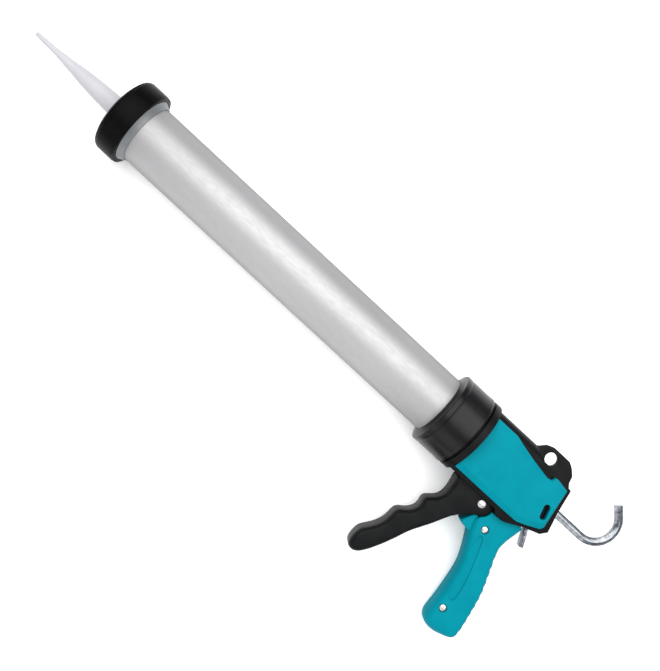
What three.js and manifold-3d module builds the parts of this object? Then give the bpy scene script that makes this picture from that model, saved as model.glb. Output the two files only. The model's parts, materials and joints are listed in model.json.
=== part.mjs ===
// A foil-pack caulking gun lying on its side, in millimetres, +Z up.
// Every piece is built in the gun's own frame: x runs along the barrel axis towards the hook,
// with x = 0 at the front of the frame; y points away from the handle; z is across the gun.
import * as THREE from "three";
import { mergeVertices } from "three/addons/utils/BufferGeometryUtils.js";
import Module from "manifold-3d";

const wasm = await Module();
wasm.setup();

// Shared by every piece
const gap = 0.4; // between pieces that touch
const running = 0.6; // around what slides or turns
const roundSteps = 64; // facets of the large round pieces
const smallSteps = 24; // facets of pins, bores and screws
const nozzleSteps = 40;
const past = 1; // how far a cut runs past the face it opens
const beyond = 200; // clear of the whole frame and grip

// Barrel, its seal, ring and nozzle
const barrelRadius = 27;
const barrelWall = 1.5;
const barrelLength = 385.6;
const sealThickness = 1.8;
const sealWidth = 5;
const nozzleFlange = 2.6;
const nozzleLength = 94; // in front of the ring
const nozzleBaseRadius = 8.6;
const nozzleTipRadius = 1.9;
const nozzleWall = 1.2;
const nozzleShoulder = 2.8;
const ringWall = 7.6;
const ringLength = 22.5;
const ringFrontWall = 3;
const ringRearCone = 5.4;
const ringConeFoot = 3.2; // how far the cone's foot stands out from the bore
const ringBevel = 2.2;

// Collar that clamps the barrel to the frame
const neckWall = 3.3;
const neckLength = 20.6;
const collarWall = 3.9;
const collarLength = 29.6;
const collarLip = 4.4;
const collarCone = 2.6;
const collarGroove = 2.4;
const retainerLength = 6;

// Frame
const flangeThickness = 6.2;
const flangeStep = 0.5;
const frameHalfWidth = 19;
const frameWall = 3.2;
const frameTop = 31.3;
const frameBottom = -31.8;
const frameRoundTop = 11;
const frameReach = 110; // rear of everything on the frame
const loopThickness = 4;
const loopHoleRadius = 5.8;
const loopCentre = [68.4, 31.2];
const springRibPlace = 64;
const springRibThickness = 3;

// Side covers
const coverThickness = 4;
const coverBelowTop = 6.1; // how far the cover stops short of the frame's top
const coverAboveBottom = 3.5;
const coverBottomSlope = 5.3;
const coverTopSlope = 9;
const coverSlotRadius = 2.9;
const coverSlotStart = [86.3, -2.2];
const coverSlotEnd = [88.7, -9.8];

// Trigger
const pivot = [47, -36.4];
const triggerHalfWidth = 12.5;
const triggerCheek = 3.3;
const triggerBoss = 11;
const triggerFrontWall = 3.6;
const triggerRound = 1.2;
const triggerTravel = THREE.MathUtils.degToRad(25);
const armTop = -8;
const armWidth = 6;

// Grip
const gripOverTrigger = 0.5; // how much further the grip stands out than the trigger
const gripWall = 3;
const gripRound = 3.5;
const tangHalfWidth = 3.8;
const upperScrew = [64.2, -51];
const lowerScrew = [82.9, -123.1];

// Screws
const pivotScrewRadius = 2.6;
const pivotHeadRadius = 3.9;
const gripScrewRadius = 2;
const gripHeadRadius = 3.3;
const headHeight = 1.8;
const sleeveWall = 1.4;
const pivotNutFlats = 7.6;
const pivotNutHeight = 2.6;
const gripNutFlats = 5.6;
const crossWidth = 1;
const crossDepth = 1;

// Push rod and piston
const rodFlats = 7;
const rodEndDepth = 2; // inside the piston's front face
const rodThreadRadius = 2.8;
const rodThreadLength = 24;
const hookBend = 132.5;
const hookRadius = 20;
const hookTurn = THREE.MathUtils.degToRad(135);
const hookEnd = 10.5;
const frontBushLip = 1.2;
const frontBushFlange = 2.4;
const rearBushFront = 92.8;
const rearBushRear = 97.4;
const pistonParked = 24; // behind the barrel's front end
const pistonLength = 14;
const pistonWall = 3;
const pistonBevel = 2;
const pistonWebDepth = 6;
const pistonWasherRadius = 17;
const pistonWasherThickness = 2;
const nutFlats = 11;
const nutHeight = 5;

// Drive and release plates
const driveFront = 35;
const driveThickness = 5;
const driveHalfHeight = 17;
const driveSideRoom = 3;
const driveSpringWire = 1.6;
const driveSpringTurns = 6;
const releaseCross = [86, 0]; // where the release plate crosses the rod
const releaseLean = THREE.MathUtils.degToRad(14.8);
const releaseThickness = 3;
const releaseSideRoom = 4.8;
const releaseTop = 16;
const releaseKnee = 29;
const releaseTab = 15;
const releaseTabHalfWidth = 5;
const releaseTabLean = THREE.MathUtils.degToRad(26);
const releaseSpringWire = 1.3;
const releaseSpringTurns = 5;
const springClearance = 2.6;

// Places that follow from the sizes
const boreRadius = barrelRadius - barrelWall;
const barrelRear = -gap;
const barrelFront = barrelRear - barrelLength;
const sealFront = barrelFront - gap - sealThickness;
const flangeFront = sealFront - gap - nozzleFlange;
const ringFront = flangeFront - gap - ringFrontWall;
const ringBore = barrelRadius + gap;
const ringRadius = ringBore + ringWall;
const ringRear = ringFront + ringLength;
const neckRadius = barrelRadius + gap + neckWall;
const collarRadius = neckRadius + gap + collarWall;
const collarRear = -collarGroove;
const collarFront = collarRear - collarLength;
const coverTop = frameTop - coverBelowTop;
const coverBottom = frameBottom + coverAboveBottom;
const rodCorner = rodFlats / 2 / Math.cos(Math.PI / 6);
const rodBore = rodCorner + running;
const pistonFront = barrelFront + pistonParked;
const rodFront = pistonFront + rodEndDepth;
const rodHexFront = rodFront + rodThreadLength;
const rodBushRadius = rodBore + sleeveWall;
const cheekInner = triggerHalfWidth - triggerCheek;
const lugHalfWidth = cheekInner - gap;
const cavityHalfWidth = frameHalfWidth - frameWall;
const gripHalfWidth = triggerHalfWidth + gripOverTrigger;
const driveRear = driveFront + driveThickness;
const driveHalfWidth = cavityHalfWidth - driveSideRoom;
const releaseHalfWidth = cavityHalfWidth - releaseSideRoom;
const pistonWeb = pistonFront + pistonWebDepth + pistonWall;
const frontBushFront = -gap - frontBushLip;
const releaseKneePlace = along(releaseCross, releaseKnee, releaseLean);
const releaseEndPlace = along(releaseKneePlace, releaseTab, releaseTabLean);

// The point that lies a length below another, leaning back by an angle.
function along([x, y], length, lean) {
  return [x + length * Math.sin(lean), y - length * Math.cos(lean)];
}

// Solids from three.js geometries, so that they can be cut and joined.
function solid(geometry) {
  const plain = geometry.clone();
  plain.deleteAttribute("normal");
  plain.deleteAttribute("uv");
  const merged = mergeVertices(plain, 1e-4);
  const mesh = new wasm.Mesh({
    numProp: 3,
    vertProperties: merged.attributes.position.array,
    triVerts: new Uint32Array(merged.index.array),
  });
  return new wasm.Manifold(mesh);
}

function geometryOf(body) {
  const mesh = body.getMesh();
  const geometry = new THREE.BufferGeometry();
  geometry.setAttribute("position", new THREE.BufferAttribute(mesh.vertProperties, 3));
  geometry.setIndex(new THREE.BufferAttribute(mesh.triVerts, 1));
  geometry.computeVertexNormals();
  return geometry;
}

const join = (first, ...others) => others.reduce((whole, next) => whole.add(next), first);
const cut = (first, ...others) => others.reduce((whole, next) => whole.subtract(next), first);

function isCounterClockwise(points) {
  return THREE.ShapeUtils.area(points.map(([x, y]) => new THREE.Vector2(x, y))) > 0;
}

// A ring or round piece about the barrel axis from [x, radius] points around its section.
function turned(section, steps = roundSteps) {
  const ordered = isCounterClockwise(section) ? section : [...section].reverse();
  const points = ordered.map(([x, radius]) => new THREE.Vector2(radius, x));
  const closes = points[0].x > 0 || points.at(-1).x > 0;
  if (closes) points.push(points[0].clone());
  points.reverse();
  const geometry = new THREE.LatheGeometry(points, steps);
  return solid(geometry.rotateZ(-Math.PI / 2));
}

function tube(x0, x1, inner, outer, steps = roundSteps) {
  return turned([[x0, inner], [x1, inner], [x1, outer], [x0, outer]], steps);
}

// A straight round bar along the gun or across it.
function barAlong(x0, x1, radius, steps = smallSteps) {
  const geometry = new THREE.CylinderGeometry(radius, radius, x1 - x0, steps);
  return solid(geometry.rotateZ(Math.PI / 2).translate((x0 + x1) / 2, 0, 0));
}

function barAcross([x, y], z0, z1, radius, steps = smallSteps) {
  const geometry = new THREE.CylinderGeometry(radius, radius, z1 - z0, steps);
  return solid(geometry.rotateX(Math.PI / 2).translate(x, y, (z0 + z1) / 2));
}

function block(x0, x1, y0, y1, z0, z1) {
  const geometry = new THREE.BoxGeometry(x1 - x0, y1 - y0, z1 - z0);
  return solid(geometry.translate((x0 + x1) / 2, (y0 + y1) / 2, (z0 + z1) / 2));
}

function shapeOf(points) {
  return new THREE.Shape(points.map(([x, y]) => new THREE.Vector2(x, y)));
}

// A plate across the gun, with square edges or edges rounded by a radius.
function plate(shape, z0, z1, rounding = 0) {
  const geometry = new THREE.ExtrudeGeometry(shape, {
    depth: z1 - z0 - 2 * rounding,
    bevelEnabled: rounding > 0,
    bevelThickness: rounding,
    bevelSize: rounding,
    bevelOffset: -rounding,
    bevelSegments: 2,
    curveSegments: 6,
  });
  return solid(geometry.translate(0, 0, z0 + rounding));
}

// The same outline moved inwards by a distance, corner by corner.
function inset(points, distance) {
  const ring = isCounterClockwise(points) ? points : [...points].reverse();
  return ring.map((point, i) => {
    const before = ring[(i + ring.length - 1) % ring.length];
    const after = ring[(i + 1) % ring.length];
    const a = new THREE.Vector2(point[0] - before[0], point[1] - before[1]).normalize();
    const b = new THREE.Vector2(after[0] - point[0], after[1] - point[1]).normalize();
    const side = new THREE.Vector2(-a.y - b.y, a.x + b.x).normalize();
    const reach = distance / Math.max(0.5, side.dot(new THREE.Vector2(-a.y, a.x)));
    return [point[0] + side.x * reach, point[1] + side.y * reach];
  });
}

function turnedAbout([x, y], [cx, cy], angle) {
  const dx = x - cx;
  const dy = y - cy;
  return [
    cx + dx * Math.cos(angle) - dy * Math.sin(angle),
    cy + dx * Math.sin(angle) + dy * Math.cos(angle),
  ];
}

class Helix extends THREE.Curve {
  constructor(x0, x1, radius, turns) {
    super();
    Object.assign(this, { x0, x1, radius, turns });
  }
  getPoint(t, target = new THREE.Vector3()) {
    const angle = 2 * Math.PI * this.turns * t;
    const x = this.x0 + (this.x1 - this.x0) * t;
    return target.set(x, this.radius * Math.cos(angle), this.radius * Math.sin(angle));
  }
}

function coilSpring(x0, x1, radius, wire, turns) {
  const section = new THREE.Shape();
  section.absarc(0, 0, wire / 2, 0, 2 * Math.PI);
  const path = new Helix(x0 + wire / 2, x1 - wire / 2, radius, turns);
  return solid(new THREE.ExtrudeGeometry(section, {
    steps: turns * 12,
    curveSegments: 3,
    extrudePath: path,
    bevelEnabled: false,
  }));
}

// Front end
function barrelTube() {
  return tube(barrelFront, barrelRear, boreRadius, barrelRadius);
}

function nozzleSeal() {
  return tube(sealFront, sealFront + sealThickness, barrelRadius - sealWidth, barrelRadius);
}

function nozzle() {
  const front = ringFront;
  const share = (part) => front - nozzleLength * part;
  // Radius along the spout, from the base to the tip
  const spout = [
    [share(0.07), nozzleBaseRadius + 0.2],
    [share(0.25), nozzleBaseRadius - 0.1],
    [share(0.43), nozzleBaseRadius - 1.7],
    [share(0.6), nozzleBaseRadius - 3.8],
    [share(0.77), nozzleTipRadius + 1],
    [share(0.92), nozzleTipRadius + 0.8],
    [share(1), nozzleTipRadius],
  ];
  const outside = [
    [flangeFront + nozzleFlange, barrelRadius],
    [flangeFront, barrelRadius],
    [flangeFront, nozzleBaseRadius + nozzleShoulder],
    [share(0.025), nozzleBaseRadius + nozzleShoulder],
    ...spout,
  ];
  const inside = spout.map(([x, radius]) => [x, radius - nozzleWall]).reverse();
  inside.push([flangeFront + nozzleFlange, nozzleBaseRadius + nozzleShoulder - nozzleWall]);
  return turned([...outside, ...inside], nozzleSteps);
}

function frontRing() {
  const mouth = nozzleBaseRadius + nozzleShoulder + gap;
  return turned([
    [ringFront, mouth],
    [ringFront, ringRadius - ringBevel],
    [ringFront + ringBevel, ringRadius],
    [ringRear, ringRadius],
    [ringRear, ringBore + ringConeFoot],
    [ringRear + ringRearCone, ringBore],
    [ringFront + ringFrontWall, ringBore],
    [ringFront + ringFrontWall, mouth],
  ]);
}

function rearCollar() {
  const lipEnd = collarFront + collarLip;
  return turned([
    [collarFront - collarCone, barrelRadius + gap],
    [collarFront, collarRadius],
    [collarRear, collarRadius],
    [collarRear, neckRadius + gap],
    [lipEnd, neckRadius + gap],
    [lipEnd, barrelRadius + gap],
  ]);
}

function barrelRetainer() {
  const rear = -neckLength - gap;
  return tube(rear - retainerLength, rear, barrelRadius + gap, neckRadius);
}

// Frame
const frameOutline = [
  [0, frameBottom],
  [56, frameBottom],
  [59, frameBottom - 3.5],
  [69.4, frameBottom - 3],
  [84, frameBottom + 4.3],
  [98, frameBottom + 9.3],
  [102.5, frameBottom + 15],
  [97.4, 0.8],
  [93.2, 21.7],
  [79, frameTop - 6.9],
  [60, frameTop - 6.3],
  [48, frameTop],
  [0, frameTop],
];

function frameBlock() {
  const side = plate(shapeOf(frameOutline), -frameHalfWidth, frameHalfWidth);
  const section = new THREE.Shape();
  section.moveTo(-frameHalfWidth, frameBottom - 10);
  section.lineTo(frameHalfWidth, frameBottom - 10);
  section.lineTo(frameHalfWidth, frameTop - frameRoundTop);
  section.quadraticCurveTo(frameHalfWidth - 1, frameTop, frameHalfWidth - frameRoundTop, frameTop);
  section.lineTo(frameRoundTop - frameHalfWidth, frameTop);
  section.quadraticCurveTo(1 - frameHalfWidth, frameTop, -frameHalfWidth, frameTop - frameRoundTop);
  const rounded = new THREE.ExtrudeGeometry(section, {
    depth: frameReach,
    bevelEnabled: false,
    curveSegments: 8,
  });
  return side.intersect(solid(rounded.rotateY(Math.PI / 2).translate(-past, 0, 0)));
}

function hangingLoop() {
  const [cx, cy] = loopCentre;
  const shape = shapeOf([
    [cx - 20, frameTop - 10],
    [cx - 18, frameTop - 0.2],
    [cx - 15, cy + 1.6],
    [cx - 10.5, cy + 6.8],
    [cx - 4.5, cy + 9.2],
    [cx + 13.5, cy + 9.2],
    [cx + 19, cy + 6],
    [cx + 24, cy + 1],
    [cx + 25.5, cy - 4.5],
    [cx + 28, cy - 7.5],
    [cx + 26, frameTop - 14],
  ]);
  return plate(shape, -loopThickness / 2, loopThickness / 2);
}

function pivotLug() {
  const [px, py] = pivot;
  const arm = shapeOf([
    [px, py - triggerBoss + 3],
    [px + 12, py - triggerBoss],
    [px + 16, py],
    [px + 14, py + 8],
    [px, py + triggerBoss - 3],
  ]);
  const round = barAcross(pivot, -lugHalfWidth, lugHalfWidth, triggerBoss - 3);
  return join(round, plate(arm, -lugHalfWidth, lugHalfWidth));
}

const tangOutline = [
  [58, frameBottom],
  [82, frameBottom + 1.4],
  [80, -50],
  [84, -66],
  [94, -92],
  [100, -120],
  [101, -134],
  [84, -138],
  [81, -125],
  [78, -105],
  [72, -86],
  [62.5, -66],
  [58, -56],
  [56, -46],
];

function frameCavity() {
  const height = inset(frameOutline, frameWall);
  const inside = plate(shapeOf(height), -cavityHalfWidth, cavityHalfWidth);
  const front = block(-50, flangeThickness, -60, 60, -60, 60);
  const triggerWay = block(
    flangeThickness + 3, pivot[0] + triggerBoss + 2 * gap, frameBottom - 20, -20,
    -triggerHalfWidth - running, triggerHalfWidth + running);
  return join(cut(inside, front), triggerWay);
}

function releaseSlot() {
  const [x, y] = releaseKneePlace;
  const halfWidth = releaseTabHalfWidth + running;
  return block(x - 7.9, x + 4.1, y - 17, y + 13, -halfWidth, halfWidth);
}

function frame() {
  const neck = tube(-neckLength, past, barrelRadius + gap, neckRadius);
  const flange = barAlong(0, flangeThickness, collarRadius - flangeStep, roundSteps);
  const springRib = block(
    springRibPlace, springRibPlace + springRibThickness, frameBottom + 2, frameTop - 8,
    -frameHalfWidth + 1, frameHalfWidth - 1);
  const shell = cut(
    join(cut(join(frameBlock(), flange), frameCavity()), springRib, hangingLoop()),
    barAlong(-past, frameReach, rodBushRadius + gap),
    barAcross(loopCentre, -beyond, beyond, loopHoleRadius),
    releaseSlot());
  const tang = plate(shapeOf(tangOutline), -tangHalfWidth, tangHalfWidth);
  return cut(
    join(shell, neck, pivotLug(), tang),
    barAcross(pivot, -beyond, beyond, pivotScrewRadius + gap + sleeveWall + gap),
    barAcross(upperScrew, -beyond, beyond, gripScrewRadius + gap),
    barAcross(lowerScrew, -beyond, beyond, gripScrewRadius + gap));
}

function half(body, side) {
  const seam = gap / 2;
  const keep = side > 0 ? [seam, beyond] : [-beyond, -seam];
  return body.intersect(block(-beyond, beyond, -beyond, beyond, ...keep));
}

// Side covers
function sideCover(side) {
  const outline = shapeOf([
    [flangeThickness + gap, coverBottom],
    [61, coverBottom],
    [75.6, coverBottom + 0.4],
    [84.8, coverBottom + 4.1],
    [95, coverBottom + 9.1],
    [96.7, coverBottom + 12.4],
    [89.9, coverTop - 5.8],
    [78.1, coverTop - 3.8],
    [75.4, coverTop - 4.2],
    [73.9, coverTop - 7.9],
    [69.7, coverTop - 8.8],
    [52.8, coverTop - 5.9],
    [37.7, coverTop - 2.6],
    [27.7, coverTop],
    [flangeThickness + gap, coverTop],
  ]);
  const inner = frameHalfWidth + gap;
  const outer = inner + coverThickness;
  const panel = plate(outline, inner, outer);
  const section = shapeOf([
    [-inner + past, coverBottom],
    [-inner - 1, coverBottom],
    [-outer, coverBottom + coverBottomSlope],
    [-outer, coverTop - coverTopSlope],
    [-outer + 1.8, coverTop],
    [-inner + past, coverTop],
  ]);
  const sloped = new THREE.ExtrudeGeometry(section, { depth: frameReach, bevelEnabled: false });
  const crowned = panel.intersect(solid(sloped.rotateY(Math.PI / 2)));
  const [sx, sy] = coverSlotStart;
  const [ex, ey] = coverSlotEnd;
  const heading = Math.atan2(ey - sy, ex - sx);
  const slot = new THREE.Shape();
  slot.absarc(sx, sy, coverSlotRadius, heading + Math.PI / 2, heading + 1.5 * Math.PI);
  slot.absarc(ex, ey, coverSlotRadius, heading - Math.PI / 2, heading + Math.PI / 2);
  const cover = cut(crowned, plate(slot, inner - past, outer + past));
  return side > 0 ? cover : cover.mirror([0, 0, 1]);
}

// Trigger
const triggerRear = [
  [7.5, -122],
  [13.5, -108],
  [19.5, -92],
  [27, -79.5],
  [34, -64.5],
  [39.8, -56],
];

function triggerShape() {
  const [px, py] = pivot;
  const shape = new THREE.Shape();
  shape.moveTo(18.5, py + 7);
  shape.lineTo(16.5, py + 3);
  shape.quadraticCurveTo(26, -50, 9, -64.5);
  shape.quadraticCurveTo(7.2, -67, 9.2, -69.5);
  shape.quadraticCurveTo(14, -79, -1.6, -87);
  shape.quadraticCurveTo(-4, -89, -2.8, -93);
  shape.quadraticCurveTo(-2.2, -110, -13.6, -120);
  shape.quadraticCurveTo(-16, -122.5, -15, -130);
  shape.quadraticCurveTo(-14.8, -139.4, -8.5, -139.3);
  shape.quadraticCurveTo(-3.5, -139.3, 0.5, -133.5);
  shape.splineThru(triggerRear.map(([x, y]) => new THREE.Vector2(x, y)));
  shape.absarc(px, py, triggerBoss, THREE.MathUtils.degToRad(-75), THREE.MathUtils.degToRad(60));
  const armFront = driveRear + gap;
  shape.lineTo(armFront + armWidth, armTop);
  shape.lineTo(armFront, armTop);
  shape.lineTo(armFront, py + 7);
  return shape;
}

function triggerChannel() {
  const wall = triggerFrontWall;
  return shapeOf([
    [16.5 + wall, pivot[1] + 20],
    [19.5 + wall, -48],
    [16 + wall, -58],
    [9.5 + wall, -67],
    [9 + wall, -78],
    [-1 + wall, -89],
    [-2 + wall, -102],
    [-12 + wall, -122],
    [-8 + wall, -131],
    [8, -131],
    [70, -90],
    [70, pivot[1] + 20],
    [60, 10],
    [16.5 + wall, 10],
  ]);
}

function trigger() {
  const body = plate(triggerShape(), -triggerHalfWidth, triggerHalfWidth, triggerRound);
  return cut(
    body,
    plate(triggerChannel(), -cheekInner, cheekInner),
    barAcross(pivot, -beyond, beyond, pivotScrewRadius + gap));
}

// Grip
const gripFront = [
  [54, -59.8],
  [57.6, -64.4],
  [62, -72.3],
  [66.5, -81],
  [70, -90.6],
  [71.8, -101],
  [73.5, -112.4],
  [75.2, -124.6],
  [75.8, -135],
  [77.2, -140.3],
  [82, -144],
];
const gripRear = [
  [90.5, -144.5],
  [98, -142.6],
  [106, -139.8],
  [109.6, -137],
  [110, -131],
  [108, -121],
  [105.2, -108],
  [102, -93.5],
  [95.6, -78],
  [89, -63],
  [86, -56.3],
  [85.6, -50],
  [87, -40],
  [89, -30],
];

function gripOutline() {
  return [
    ...gripFront,
    ...gripRear,
    [84.2, frameBottom + 3.6],
    [69.6, frameBottom - 3.6],
    [59.4, frameBottom - 4.2],
    [50, -46.5],
  ];
}

// The finger rest at the top of the grip, thin enough to pass between the trigger's cheeks.
function gripNose() {
  const shape = shapeOf([
    [44.4, -58.3],
    [48.5, -60.2],
    [56, -61],
    [60, -50],
    [54, -44],
    [50, -46.5],
  ]);
  return plate(shape, gap / 2, cheekInner - gap);
}

// The space that the trigger's cheeks pass through between rest and full squeeze.
function triggerSweep(side) {
  const [px, py] = pivot;
  const far = 60;
  const rest = [[px - far, py - far], [px - far, py]];
  const squeezed = [[39.8, -56], [34, -64.5], [27, -79.5]]
    .map((point) => turnedAbout([point[0] + running, point[1]], pivot, triggerTravel));
  const edge = turnedAbout([px + triggerBoss + running, py], pivot, THREE.MathUtils.degToRad(-50));
  const shape = shapeOf([pivot, edge, ...squeezed, ...rest]);
  const z0 = cheekInner - gap;
  const z1 = gripHalfWidth + past;
  const boss = barAcross(pivot, z0, z1, triggerBoss + running, 48);
  const sweep = join(plate(shape, z0, z1), boss);
  return side > 0 ? sweep : sweep.mirror([0, 0, 1]);
}

function gripHalf(side) {
  const outline = gripOutline();
  const body = plate(shapeOf(outline), -gripHalfWidth, gripHalfWidth, gripRound);
  const inner = gripHalfWidth - gripWall;
  const hollow = plate(shapeOf(inset(outline, gripWall)), -inner, inner);
  const tangRoom = plate(shapeOf(inset(tangOutline, -gap)), -past, tangHalfWidth + gap);
  const bosses = [upperScrew, lowerScrew].map((place) =>
    barAcross(place, tangHalfWidth + gap, gripHalfWidth - 1, gripHeadRadius + 2));
  const shells = join(
    cut(join(cut(half(body, 1), hollow), gripNose()), lugRoom(), tangRoom),
    ...bosses);
  const drilled = cut(
    shells,
    triggerSweep(1),
    ...[upperScrew, lowerScrew].flatMap((place) => [
      barAcross(place, -past, beyond, gripScrewRadius + gap),
      barAcross(place, gripHalfWidth - headHeight - gap, beyond, gripHeadRadius + gap),
    ]));
  return side > 0 ? drilled : drilled.mirror([0, 0, 1]);
}

// Room inside the grip for the frame's lug, which reaches in from above.
function lugRoom() {
  const [px, py] = pivot;
  const room = shapeOf([
    [px, py - triggerBoss + 2.6],
    [px + 12.6, py - triggerBoss - 0.8],
    [px + 17, py - 6],
    [px + 17, py + 12],
    [px, py + 12],
  ]);
  return join(
    barAcross(pivot, -past, lugHalfWidth + gap, triggerBoss + gap),
    plate(room, -past, lugHalfWidth + gap));
}

// Screws, nuts and bushes
function screw(place, head, shankRadius, headRadius, reach) {
  const [x, y] = place;
  const w = crossWidth / 2;
  const reached = headRadius * 0.7;
  const bottom = head - crossDepth;
  const slot = block(x - w, x + w, y - reached, y + reached, bottom, head + past);
  const cross = block(x - reached, x + reached, y - w, y + w, bottom, head + past);
  return cut(
    join(
      barAcross(place, head - headHeight, head, headRadius),
      barAcross(place, reach, head - headHeight / 2, shankRadius)),
    slot, cross);
}

function nutAcross(place, z0, z1, flats, bore) {
  return cut(
    barAcross(place, z0, z1, flats / Math.sqrt(3), 6),
    barAcross(place, z0 - past, z1 + past, bore));
}

function pivotScrew() {
  const head = triggerHalfWidth + gap + headHeight;
  const reach = -triggerHalfWidth - gap - pivotNutHeight - gap;
  return screw(pivot, head, pivotScrewRadius, pivotHeadRadius, reach);
}

function pivotNut() {
  const z1 = -triggerHalfWidth - gap;
  return nutAcross(pivot, z1 - pivotNutHeight, z1, pivotNutFlats, pivotScrewRadius + gap);
}

function pivotSleeve() {
  const reach = lugHalfWidth - gap;
  return cut(
    barAcross(pivot, -reach, reach, pivotScrewRadius + gap + sleeveWall),
    barAcross(pivot, -beyond, beyond, pivotScrewRadius + gap));
}

function gripScrew(place) {
  return screw(place, gripHalfWidth, gripScrewRadius, gripHeadRadius, -gripHalfWidth + 0.6);
}

function gripNut(place) {
  const z0 = -gripHalfWidth + 0.2;
  return nutAcross(place, z0, z0 + headHeight, gripNutFlats, gripScrewRadius + gap);
}

function frontRodBush() {
  const lip = tube(frontBushFront, -gap, rodBore, rodBushRadius + frontBushFlange, smallSteps);
  return join(tube(frontBushFront, flangeThickness - gap, rodBore, rodBushRadius, smallSteps), lip);
}

function rearRodBush() {
  return tube(rearBushFront, rearBushRear, rodBore, rodBushRadius, smallSteps);
}

// Push rod and piston
function hexagon(radius) {
  const corners = [0, 1, 2, 3, 4, 5].map((i) => {
    const angle = ((2 * i + 1) * Math.PI) / 6;
    return [radius * Math.cos(angle), radius * Math.sin(angle)];
  });
  return shapeOf(corners);
}

// Straight along the barrel, round the bend, then straight to the end of the hook.
class RodPath extends THREE.Curve {
  getPoint(t, target = new THREE.Vector3()) {
    // Nearly all the steps are spent on the bend.
    const ends = 0.05;
    const turnedBy = hookTurn * Math.min(Math.max((t - ends) / (1 - 2 * ends), 0), 1);
    const before = (hookBend - rodHexFront) * Math.max(1 - t / ends, 0);
    const after = hookEnd * Math.max(1 - (1 - t) / ends, 0);
    const x = hookBend + hookRadius * Math.sin(turnedBy) - before + after * Math.cos(hookTurn);
    const y = hookRadius * (1 - Math.cos(turnedBy)) + after * Math.sin(hookTurn);
    return target.set(x, y, 0);
  }
}

function hexBar() {
  return solid(new THREE.ExtrudeGeometry(hexagon(rodCorner), {
    steps: 40,
    extrudePath: new RodPath(),
    bevelEnabled: false,
  }));
}

// The bar is one piece in use. Its bent end is a node of its own, cut off where the bend starts.
function pushRod() {
  const straight = block(-2 * beyond, hookBend - gap / 2, -beyond, rodFlats, -beyond, beyond);
  return join(hexBar().intersect(straight), barAlong(rodFront, rodHexFront + past, rodThreadRadius));
}

function rodHook() {
  const straight = block(-2 * beyond, hookBend + gap / 2, -beyond, rodFlats, -beyond, beyond);
  return cut(hexBar(), straight);
}

function piston() {
  const radius = boreRadius - running;
  const rear = pistonFront + pistonLength;
  return turned([
    [pistonFront, rodThreadRadius + gap],
    [pistonFront, radius - pistonBevel],
    [pistonFront + pistonBevel, radius],
    [rear, radius],
    [rear, radius - pistonWall],
    [pistonWeb, radius - pistonWall],
    [pistonWeb, rodThreadRadius + gap],
  ]);
}

function pistonWasher() {
  const front = pistonWeb + gap;
  return tube(front, front + pistonWasherThickness, rodThreadRadius + gap, pistonWasherRadius);
}

function pistonNut() {
  const x0 = pistonWeb + gap + pistonWasherThickness + gap;
  return nutAlong(x0, x0 + nutHeight);
}

function nutAlong(x0, x1) {
  return cut(
    barAlong(x0, x1, nutFlats / Math.sqrt(3), 6),
    barAlong(x0 - past, x1 + past, rodThreadRadius + gap));
}

// Drive plate and release plate
function drivePlate() {
  return cut(
    block(driveFront, driveRear, -driveHalfHeight, driveHalfHeight, -driveHalfWidth, driveHalfWidth),
    barAlong(driveFront - past, driveRear + past, rodBore));
}

function releasePlate() {
  const top = along(releaseCross, -releaseTop, releaseLean);
  const knee = releaseKneePlace;
  const end = releaseEndPlace;
  const half = releaseThickness / 2;
  const off = ([x, y], lean, side) => [x + side * half * Math.cos(lean), y + side * half * Math.sin(lean)];
  const kneeLean = (releaseLean + releaseTabLean) / 2;
  const shape = shapeOf([
    off(top, releaseLean, 1), off(top, releaseLean, -1),
    off(knee, kneeLean, -1), off(end, releaseTabLean, -1),
    off(end, releaseTabLean, 1), off(knee, kneeLean, 1),
  ]);
  const narrow = knee[1] + 12;
  const wide = block(0, beyond, narrow, beyond, -releaseHalfWidth, releaseHalfWidth);
  const tab = block(0, beyond, -beyond, narrow + past, -releaseTabHalfWidth, releaseTabHalfWidth);
  return cut(
    plate(shape, -releaseHalfWidth, releaseHalfWidth).intersect(join(wide, tab)),
    barAlong(0, frameReach, rodBore + gap));
}

function driveSpring() {
  const radius = rodCorner + springClearance;
  return coilSpring(flangeThickness + gap, driveFront - gap, radius, driveSpringWire, driveSpringTurns);
}

function releaseSpring() {
  const front = springRibPlace + springRibThickness + gap;
  const rear = releaseCross[0] - releaseThickness - 4 * gap;
  const radius = rodCorner + springClearance - running;
  return coilSpring(front, rear, radius, releaseSpringWire, releaseSpringTurns);
}

// Pieces in their bodies, each with its finish
const finish = (color, roughness, metalness) =>
  new THREE.MeshStandardMaterial({ color, roughness, metalness });
const aluminium = () => finish(0xd8dade, 0.35, 0.9);
const blackPlastic = () => finish(0x1a1b1d, 0.5, 0);
const tealPlastic = () => finish(0x02a5bb, 0.45, 0);
const zincSteel = () => finish(0xa9aeb2, 0.35, 1);
const whitePlastic = () => finish(0xe6e6ec, 0.4, 0);
const rubber = () => finish(0x3a3a3c, 0.8, 0);

const gun = new THREE.Group();

function add(name, body, material) {
  const mesh = new THREE.Mesh(geometryOf(body), material);
  mesh.name = name;
  gun.add(mesh);
}

add("barrel_tube", barrelTube(), aluminium());
add("barrel_retainer", barrelRetainer(), zincSteel());
add("rear_collar", rearCollar(), blackPlastic());
add("front_ring", frontRing(), blackPlastic());
add("nozzle", nozzle(), whitePlastic());
add("nozzle_seal", nozzleSeal(), rubber());

const wholeFrame = frame();
for (const [name, side] of [["left", 1], ["right", -1]]) {
  add(`frame_${name}`, half(wholeFrame, side), blackPlastic());
  add(`side_cover_${name}`, sideCover(side), tealPlastic());
  add(`grip_${name}`, gripHalf(side), tealPlastic());
}

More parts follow.
